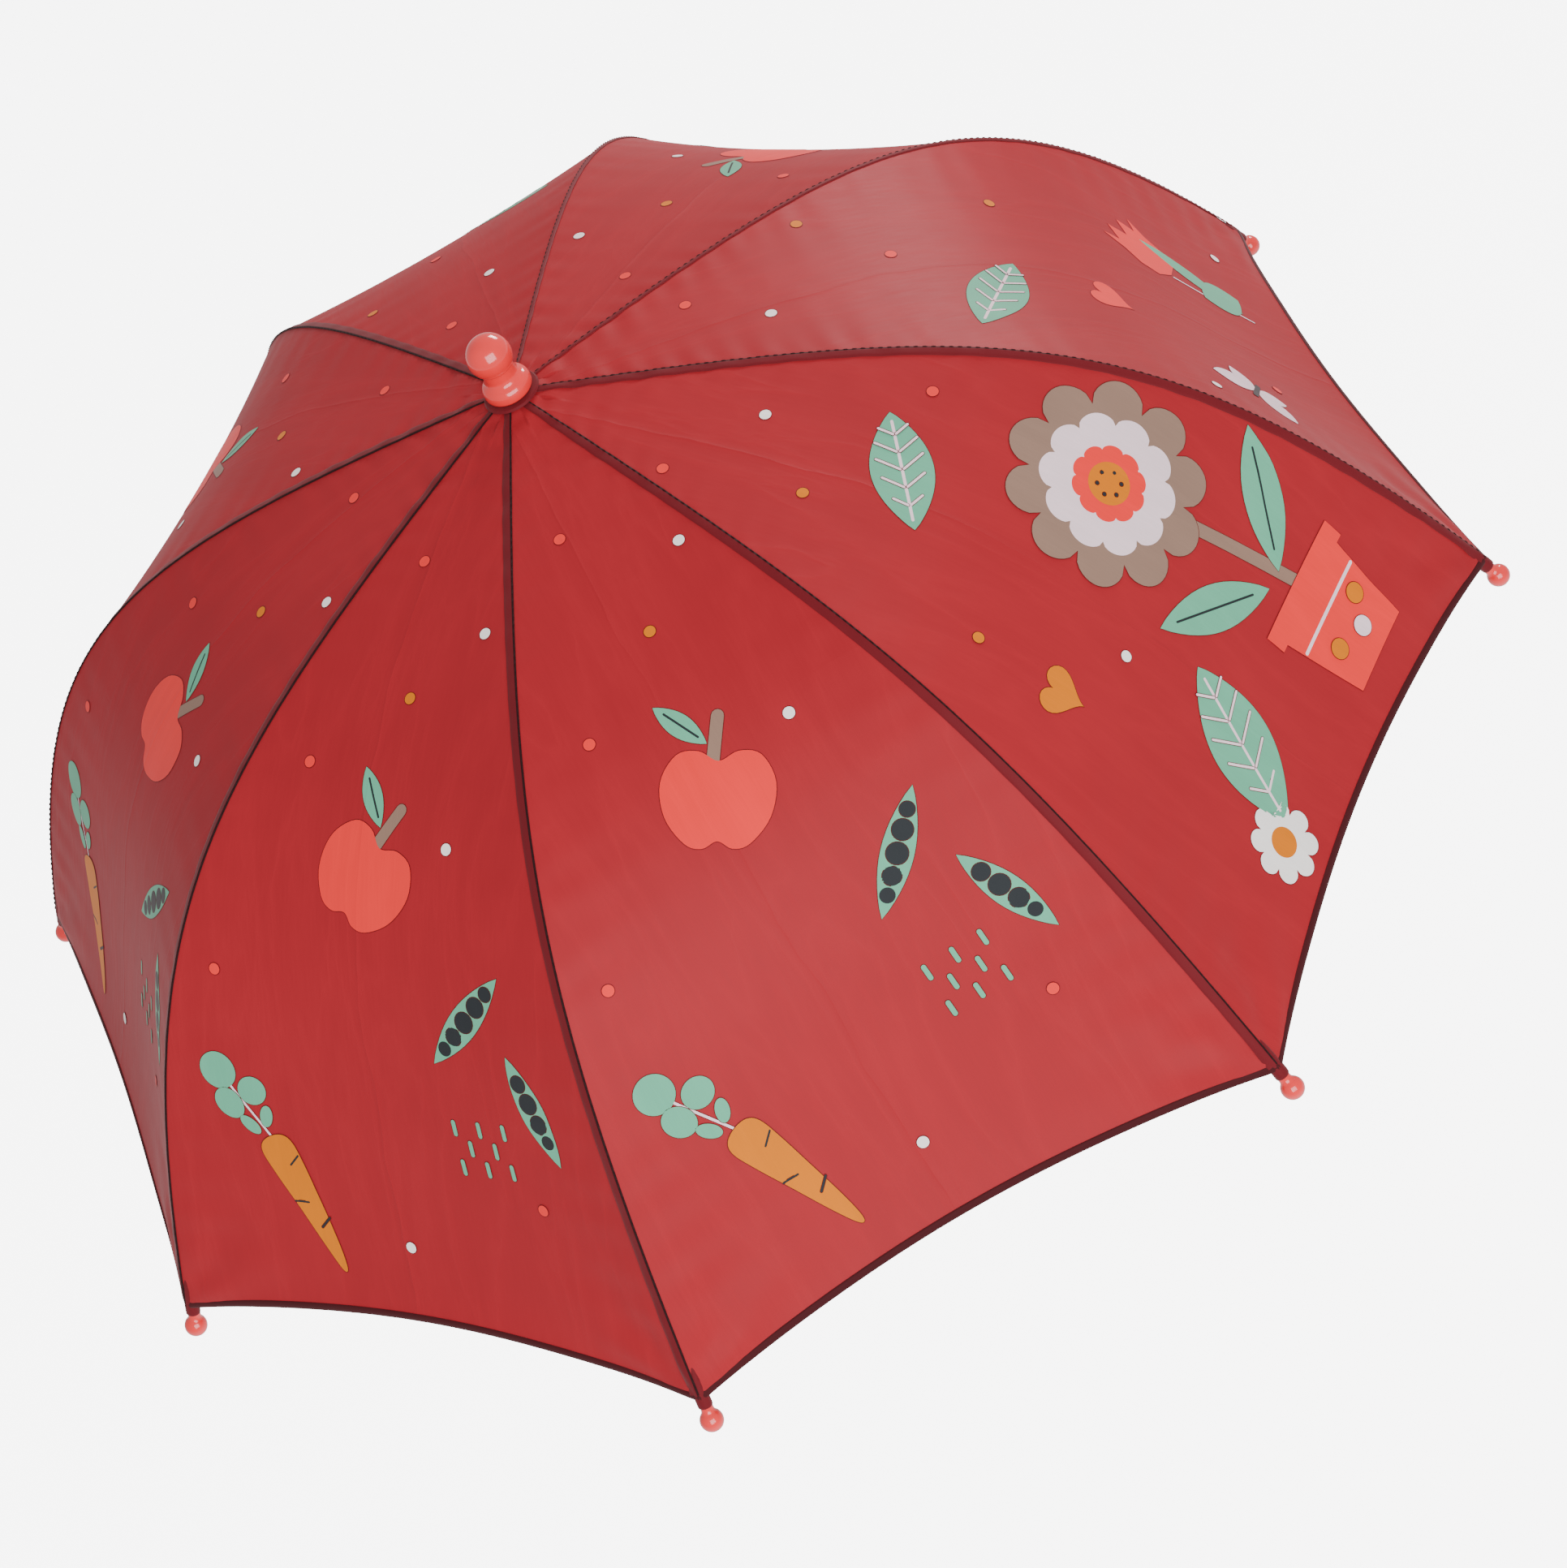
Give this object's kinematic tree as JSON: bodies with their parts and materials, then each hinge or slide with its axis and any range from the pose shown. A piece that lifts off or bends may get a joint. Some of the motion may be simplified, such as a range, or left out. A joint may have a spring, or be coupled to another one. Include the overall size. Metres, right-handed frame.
{
  "type": "children's umbrella",
  "caption": "Child's domed stick umbrella, open, with folding ribs and stretchers, a sliding runner, coral ball finial and crook handle, red printed cloth.",
  "frame": {"origin": "on the shaft's axis, at the middle of the straight grip of the handle", "axes": "+Z along the shaft from the handle to the finial; -Y towards rib 1, with the ribs numbered anticlockwise from above; the crook opens towards +Y"},
  "size_m": [0.709, 0.709, 0.5848],
  "materials": {
    "canopy_cloth": "plain-woven polyester with a printed pattern",
    "dark_binding": "woven binding",
    "coral_plastic": "glossy moulded",
    "black_plastic": "satin moulded",
    "painted_steel": "satin black paint",
    "spring_wire": "bright drawn wire"
  },
  "bodies": {
    "shaft": {"shaft": "painted_steel", "handle": "coral_plastic", "handle_collar": "black_plastic", "crown": "black_plastic", "crown_ring_wire": "spring_wire", "finial": "coral_plastic", "finial_washer": "dark_binding"},
    "runner": {"runner": "black_plastic", "runner_ring_wire": "spring_wire"},
    "top_catch": {"top_catch": "spring_wire"},
    "bottom_catch": {"bottom_catch": "spring_wire"},
    "inner_rib_1": {"rib_inner_1": "painted_steel"},
    "outer_rib_1": {"rib_outer_1": "painted_steel", "rib_tip_1": "coral_plastic"},
    "stretcher_1": {"stretcher_1": "painted_steel"},
    "upper_cloth_1": {"gore_upper_1": "canopy_cloth"},
    "lower_cloth_1": {"gore_lower_1": "canopy_cloth"},
    "inner_rib_2": {"rib_inner_2": "painted_steel"},
    "outer_rib_2": {"rib_outer_2": "painted_steel", "rib_tip_2": "coral_plastic"},
    "stretcher_2": {"stretcher_2": "painted_steel"},
    "upper_cloth_2": {"gore_upper_2": "canopy_cloth"},
    "lower_cloth_2": {"gore_lower_2": "canopy_cloth"},
    "inner_rib_3": {"rib_inner_3": "painted_steel"},
    "outer_rib_3": {"rib_outer_3": "painted_steel", "rib_tip_3": "coral_plastic"},
    "stretcher_3": {"stretcher_3": "painted_steel"},
    "upper_cloth_3": {"gore_upper_3": "canopy_cloth"},
    "lower_cloth_3": {"gore_lower_3": "canopy_cloth"},
    "inner_rib_4": {"rib_inner_4": "painted_steel"},
    "outer_rib_4": {"rib_outer_4": "painted_steel", "rib_tip_4": "coral_plastic"},
    "stretcher_4": {"stretcher_4": "painted_steel"},
    "upper_cloth_4": {"gore_upper_4": "canopy_cloth"},
    "lower_cloth_4": {"gore_lower_4": "canopy_cloth"},
    "inner_rib_5": {"rib_inner_5": "painted_steel"},
    "outer_rib_5": {"rib_outer_5": "painted_steel", "rib_tip_5": "coral_plastic"},
    "stretcher_5": {"stretcher_5": "painted_steel"},
    "upper_cloth_5": {"gore_upper_5": "canopy_cloth"},
    "lower_cloth_5": {"gore_lower_5": "canopy_cloth", "closing_strap": "canopy_cloth"},
    "inner_rib_6": {"rib_inner_6": "painted_steel"},
    "outer_rib_6": {"rib_outer_6": "painted_steel", "rib_tip_6": "coral_plastic"},
    "stretcher_6": {"stretcher_6": "painted_steel"},
    "upper_cloth_6": {"gore_upper_6": "canopy_cloth"},
    "lower_cloth_6": {"gore_lower_6": "canopy_cloth"},
    "inner_rib_7": {"rib_inner_7": "painted_steel"},
    "outer_rib_7": {"rib_outer_7": "painted_steel", "rib_tip_7": "coral_plastic"},
    "stretcher_7": {"stretcher_7": "painted_steel"},
    "upper_cloth_7": {"gore_upper_7": "canopy_cloth"},
    "lower_cloth_7": {"gore_lower_7": "canopy_cloth"},
    "inner_rib_8": {"rib_inner_8": "painted_steel"},
    "outer_rib_8": {"rib_outer_8": "painted_steel", "rib_tip_8": "coral_plastic"},
    "stretcher_8": {"stretcher_8": "painted_steel"},
    "upper_cloth_8": {"gore_upper_8": "canopy_cloth"},
    "lower_cloth_8": {"gore_lower_8": "canopy_cloth"}
  },
  "joints": [
    {"name": "runner_slide", "type": "slide", "parent": "shaft", "child": "runner", "axis": [0, 0, 1], "range_m": [-0.2902, 0], "deforming": ["gore_upper_1", "gore_lower_1", "gore_upper_2", "gore_lower_2", "gore_upper_3", "gore_lower_3", "gore_upper_4", "gore_lower_4", "gore_upper_5", "gore_lower_5", "gore_upper_6", "gore_lower_6", "gore_upper_7", "gore_lower_7", "gore_upper_8", "gore_lower_8", "closing_strap", "top_catch", "bottom_catch"]},
    {"name": "rib_hinge_1", "type": "hinge", "parent": "shaft", "child": "inner_rib_1", "pos_m": [0, -0.01, 0.48004], "axis": [1, 0, 0], "range_deg": [0, 71.76]},
    {"name": "rib_flex_1", "type": "hinge", "parent": "inner_rib_1", "child": "outer_rib_1", "pos_m": [0, -0.1985, 0.43079], "axis": [1, 0, 0], "range_deg": [-32.41, 0]},
    {"name": "stretcher_hinge_1", "type": "hinge", "parent": "inner_rib_1", "child": "stretcher_1", "pos_m": [0, -0.1985, 0.43079], "axis": [1, 0, 0], "range_deg": [-143.51, 0]},
    {"name": "cloth_hinge_1", "type": "hinge", "parent": "shaft", "child": "upper_cloth_1", "pos_m": [0.00224, -0.00542, 0.48153], "axis": [0.9239, 0.3827, 0], "range_deg": [0, 69.56]},
    {"name": "cloth_fold_1", "type": "hinge", "parent": "upper_cloth_1", "child": "lower_cloth_1", "pos_m": [0.07071, -0.17071, 0.43333], "axis": [0.9239, 0.3827, 0], "range_deg": [-32.33, 0]},
    {"name": "rib_hinge_2", "type": "hinge", "parent": "shaft", "child": "inner_rib_2", "pos_m": [0.00707, -0.00707, 0.48004], "axis": [0.7071, 0.7071, 0], "range_deg": [0, 71.76]},
    {"name": "rib_flex_2", "type": "hinge", "parent": "inner_rib_2", "child": "outer_rib_2", "pos_m": [0.14036, -0.14036, 0.43079], "axis": [0.7071, 0.7071, 0], "range_deg": [-32.41, 0]},
    {"name": "stretcher_hinge_2", "type": "hinge", "parent": "inner_rib_2", "child": "stretcher_2", "pos_m": [0.14036, -0.14036, 0.43079], "axis": [0.7071, 0.7071, 0], "range_deg": [-143.51, 0]},
    {"name": "cloth_hinge_2", "type": "hinge", "parent": "shaft", "child": "upper_cloth_2", "pos_m": [0.00542, -0.00224, 0.48153], "axis": [0.3827, 0.9239, 0], "range_deg": [0, 69.56]},
    {"name": "cloth_fold_2", "type": "hinge", "parent": "upper_cloth_2", "child": "lower_cloth_2", "pos_m": [0.17071, -0.07071, 0.43333], "axis": [0.3827, 0.9239, 0], "range_deg": [-32.33, 0]},
    {"name": "rib_hinge_3", "type": "hinge", "parent": "shaft", "child": "inner_rib_3", "pos_m": [0.01, 0, 0.48004], "axis": [0, 1, 0], "range_deg": [0, 71.76]},
    {"name": "rib_flex_3", "type": "hinge", "parent": "inner_rib_3", "child": "outer_rib_3", "pos_m": [0.1985, 0, 0.43079], "axis": [0, 1, 0], "range_deg": [-32.41, 0]},
    {"name": "stretcher_hinge_3", "type": "hinge", "parent": "inner_rib_3", "child": "stretcher_3", "pos_m": [0.1985, 0, 0.43079], "axis": [0, 1, 0], "range_deg": [-143.51, 0]},
    {"name": "cloth_hinge_3", "type": "hinge", "parent": "shaft", "child": "upper_cloth_3", "pos_m": [0.00542, 0.00224, 0.48153], "axis": [-0.3827, 0.9239, 0], "range_deg": [0, 69.56]},
    {"name": "cloth_fold_3", "type": "hinge", "parent": "upper_cloth_3", "child": "lower_cloth_3", "pos_m": [0.17071, 0.07071, 0.43333], "axis": [-0.3827, 0.9239, 0], "range_deg": [-32.33, 0]},
    {"name": "rib_hinge_4", "type": "hinge", "parent": "shaft", "child": "inner_rib_4", "pos_m": [0.00707, 0.00707, 0.48004], "axis": [-0.7071, 0.7071, 0], "range_deg": [0, 71.76]},
    {"name": "rib_flex_4", "type": "hinge", "parent": "inner_rib_4", "child": "outer_rib_4", "pos_m": [0.14036, 0.14036, 0.43079], "axis": [-0.7071, 0.7071, 0], "range_deg": [-32.41, 0]},
    {"name": "stretcher_hinge_4", "type": "hinge", "parent": "inner_rib_4", "child": "stretcher_4", "pos_m": [0.14036, 0.14036, 0.43079], "axis": [-0.7071, 0.7071, 0], "range_deg": [-143.51, 0]},
    {"name": "cloth_hinge_4", "type": "hinge", "parent": "shaft", "child": "upper_cloth_4", "pos_m": [0.00224, 0.00542, 0.48153], "axis": [-0.9239, 0.3827, 0], "range_deg": [0, 69.56]},
    {"name": "cloth_fold_4", "type": "hinge", "parent": "upper_cloth_4", "child": "lower_cloth_4", "pos_m": [0.07071, 0.17071, 0.43333], "axis": [-0.9239, 0.3827, 0], "range_deg": [-32.33, 0]},
    {"name": "rib_hinge_5", "type": "hinge", "parent": "shaft", "child": "inner_rib_5", "pos_m": [0, 0.01, 0.48004], "axis": [-1, 0, 0], "range_deg": [0, 71.76]},
    {"name": "rib_flex_5", "type": "hinge", "parent": "inner_rib_5", "child": "outer_rib_5", "pos_m": [0, 0.1985, 0.43079], "axis": [-1, 0, 0], "range_deg": [-32.41, 0]},
    {"name": "stretcher_hinge_5", "type": "hinge", "parent": "inner_rib_5", "child": "stretcher_5", "pos_m": [0, 0.1985, 0.43079], "axis": [-1, 0, 0], "range_deg": [-143.51, 0]},
    {"name": "cloth_hinge_5", "type": "hinge", "parent": "shaft", "child": "upper_cloth_5", "pos_m": [-0.00224, 0.00542, 0.48153], "axis": [-0.9239, -0.3827, 0], "range_deg": [0, 69.56]},
    {"name": "cloth_fold_5", "type": "hinge", "parent": "upper_cloth_5", "child": "lower_cloth_5", "pos_m": [-0.07071, 0.17071, 0.43333], "axis": [-0.9239, -0.3827, 0], "range_deg": [-32.33, 0]},
    {"name": "rib_hinge_6", "type": "hinge", "parent": "shaft", "child": "inner_rib_6", "pos_m": [-0.00707, 0.00707, 0.48004], "axis": [-0.7071, -0.7071, 0], "range_deg": [0, 71.76]},
    {"name": "rib_flex_6", "type": "hinge", "parent": "inner_rib_6", "child": "outer_rib_6", "pos_m": [-0.14036, 0.14036, 0.43079], "axis": [-0.7071, -0.7071, 0], "range_deg": [-32.41, 0]},
    {"name": "stretcher_hinge_6", "type": "hinge", "parent": "inner_rib_6", "child": "stretcher_6", "pos_m": [-0.14036, 0.14036, 0.43079], "axis": [-0.7071, -0.7071, 0], "range_deg": [-143.51, 0]},
    {"name": "cloth_hinge_6", "type": "hinge", "parent": "shaft", "child": "upper_cloth_6", "pos_m": [-0.00542, 0.00224, 0.48153], "axis": [-0.3827, -0.9239, 0], "range_deg": [0, 69.56]},
    {"name": "cloth_fold_6", "type": "hinge", "parent": "upper_cloth_6", "child": "lower_cloth_6", "pos_m": [-0.17071, 0.07071, 0.43333], "axis": [-0.3827, -0.9239, 0], "range_deg": [-32.33, 0]},
    {"name": "rib_hinge_7", "type": "hinge", "parent": "shaft", "child": "inner_rib_7", "pos_m": [-0.01, 0, 0.48004], "axis": [0, -1, 0], "range_deg": [0, 71.76]},
    {"name": "rib_flex_7", "type": "hinge", "parent": "inner_rib_7", "child": "outer_rib_7", "pos_m": [-0.1985, 0, 0.43079], "axis": [0, -1, 0], "range_deg": [-32.41, 0]},
    {"name": "stretcher_hinge_7", "type": "hinge", "parent": "inner_rib_7", "child": "stretcher_7", "pos_m": [-0.1985, 0, 0.43079], "axis": [0, -1, 0], "range_deg": [-143.51, 0]},
    {"name": "cloth_hinge_7", "type": "hinge", "parent": "shaft", "child": "upper_cloth_7", "pos_m": [-0.00542, -0.00224, 0.48153], "axis": [0.3827, -0.9239, 0], "range_deg": [0, 69.56]},
    {"name": "cloth_fold_7", "type": "hinge", "parent": "upper_cloth_7", "child": "lower_cloth_7", "pos_m": [-0.17071, -0.07071, 0.43333], "axis": [0.3827, -0.9239, 0], "range_deg": [-32.33, 0]},
    {"name": "rib_hinge_8", "type": "hinge", "parent": "shaft", "child": "inner_rib_8", "pos_m": [-0.00707, -0.00707, 0.48004], "axis": [0.7071, -0.7071, 0], "range_deg": [0, 71.76]},
    {"name": "rib_flex_8", "type": "hinge", "parent": "inner_rib_8", "child": "outer_rib_8", "pos_m": [-0.14036, -0.14036, 0.43079], "axis": [0.7071, -0.7071, 0], "range_deg": [-32.41, 0]},
    {"name": "stretcher_hinge_8", "type": "hinge", "parent": "inner_rib_8", "child": "stretcher_8", "pos_m": [-0.14036, -0.14036, 0.43079], "axis": [0.7071, -0.7071, 0], "range_deg": [-143.51, 0]},
    {"name": "cloth_hinge_8", "type": "hinge", "parent": "shaft", "child": "upper_cloth_8", "pos_m": [-0.00224, -0.00542, 0.48153], "axis": [0.9239, -0.3827, 0], "range_deg": [0, 69.56]},
    {"name": "cloth_fold_8", "type": "hinge", "parent": "upper_cloth_8", "child": "lower_cloth_8", "pos_m": [-0.07071, -0.17071, 0.43333], "axis": [0.9239, -0.3827, 0], "range_deg": [-32.33, 0]},
    {"name": "top_catch_press", "type": "slide", "parent": "shaft", "child": "top_catch", "axis": [-0.3827, 0.9239, 0], "range_m": [0, 0.0026], "stiffness_N_per_m": 600},
    {"name": "bottom_catch_press", "type": "slide", "parent": "shaft", "child": "bottom_catch", "axis": [-0.3827, 0.9239, 0], "range_m": [0, 0.0026], "stiffness_N_per_m": 600}
  ],
  "couplings": [
    {"joint": "cloth_hinge_1", "follows": "runner_slide", "rad_per_m": -4.1594},
    {"joint": "cloth_fold_1", "follows": "runner_slide", "rad_per_m": 1.9202},
    {"joint": "rib_hinge_1", "follows": "runner_slide", "rad_per_m": -4.2915},
    {"joint": "rib_flex_1", "follows": "runner_slide", "rad_per_m": 1.9252},
    {"joint": "stretcher_hinge_1", "follows": "runner_slide", "rad_per_m": 8.583},
    {"joint": "cloth_hinge_2", "follows": "runner_slide", "rad_per_m": -4.1594},
    {"joint": "cloth_fold_2", "follows": "runner_slide", "rad_per_m": 1.9202},
    {"joint": "rib_hinge_2", "follows": "runner_slide", "rad_per_m": -4.2915},
    {"joint": "rib_flex_2", "follows": "runner_slide", "rad_per_m": 1.9252},
    {"joint": "stretcher_hinge_2", "follows": "runner_slide", "rad_per_m": 8.583},
    {"joint": "cloth_hinge_3", "follows": "runner_slide", "rad_per_m": -4.1594},
    {"joint": "cloth_fold_3", "follows": "runner_slide", "rad_per_m": 1.9202},
    {"joint": "rib_hinge_3", "follows": "runner_slide", "rad_per_m": -4.2915},
    {"joint": "rib_flex_3", "follows": "runner_slide", "rad_per_m": 1.9252},
    {"joint": "stretcher_hinge_3", "follows": "runner_slide", "rad_per_m": 8.583},
    {"joint": "cloth_hinge_4", "follows": "runner_slide", "rad_per_m": -4.1594},
    {"joint": "cloth_fold_4", "follows": "runner_slide", "rad_per_m": 1.9202},
    {"joint": "rib_hinge_4", "follows": "runner_slide", "rad_per_m": -4.2915},
    {"joint": "rib_flex_4", "follows": "runner_slide", "rad_per_m": 1.9252},
    {"joint": "stretcher_hinge_4", "follows": "runner_slide", "rad_per_m": 8.583},
    {"joint": "cloth_hinge_5", "follows": "runner_slide", "rad_per_m": -4.1594},
    {"joint": "cloth_fold_5", "follows": "runner_slide", "rad_per_m": 1.9202},
    {"joint": "rib_hinge_5", "follows": "runner_slide", "rad_per_m": -4.2915},
    {"joint": "rib_flex_5", "follows": "runner_slide", "rad_per_m": 1.9252},
    {"joint": "stretcher_hinge_5", "follows": "runner_slide", "rad_per_m": 8.583},
    {"joint": "cloth_hinge_6", "follows": "runner_slide", "rad_per_m": -4.1594},
    {"joint": "cloth_fold_6", "follows": "runner_slide", "rad_per_m": 1.9202},
    {"joint": "rib_hinge_6", "follows": "runner_slide", "rad_per_m": -4.2915},
    {"joint": "rib_flex_6", "follows": "runner_slide", "rad_per_m": 1.9252},
    {"joint": "stretcher_hinge_6", "follows": "runner_slide", "rad_per_m": 8.583},
    {"joint": "cloth_hinge_7", "follows": "runner_slide", "rad_per_m": -4.1594},
    {"joint": "cloth_fold_7", "follows": "runner_slide", "rad_per_m": 1.9202},
    {"joint": "rib_hinge_7", "follows": "runner_slide", "rad_per_m": -4.2915},
    {"joint": "rib_flex_7", "follows": "runner_slide", "rad_per_m": 1.9252},
    {"joint": "stretcher_hinge_7", "follows": "runner_slide", "rad_per_m": 8.583},
    {"joint": "cloth_hinge_8", "follows": "runner_slide", "rad_per_m": -4.1594},
    {"joint": "cloth_fold_8", "follows": "runner_slide", "rad_per_m": 1.9202},
    {"joint": "rib_hinge_8", "follows": "runner_slide", "rad_per_m": -4.2915},
    {"joint": "rib_flex_8", "follows": "runner_slide", "rad_per_m": 1.9252},
    {"joint": "stretcher_hinge_8", "follows": "runner_slide", "rad_per_m": 8.583}
  ]
}
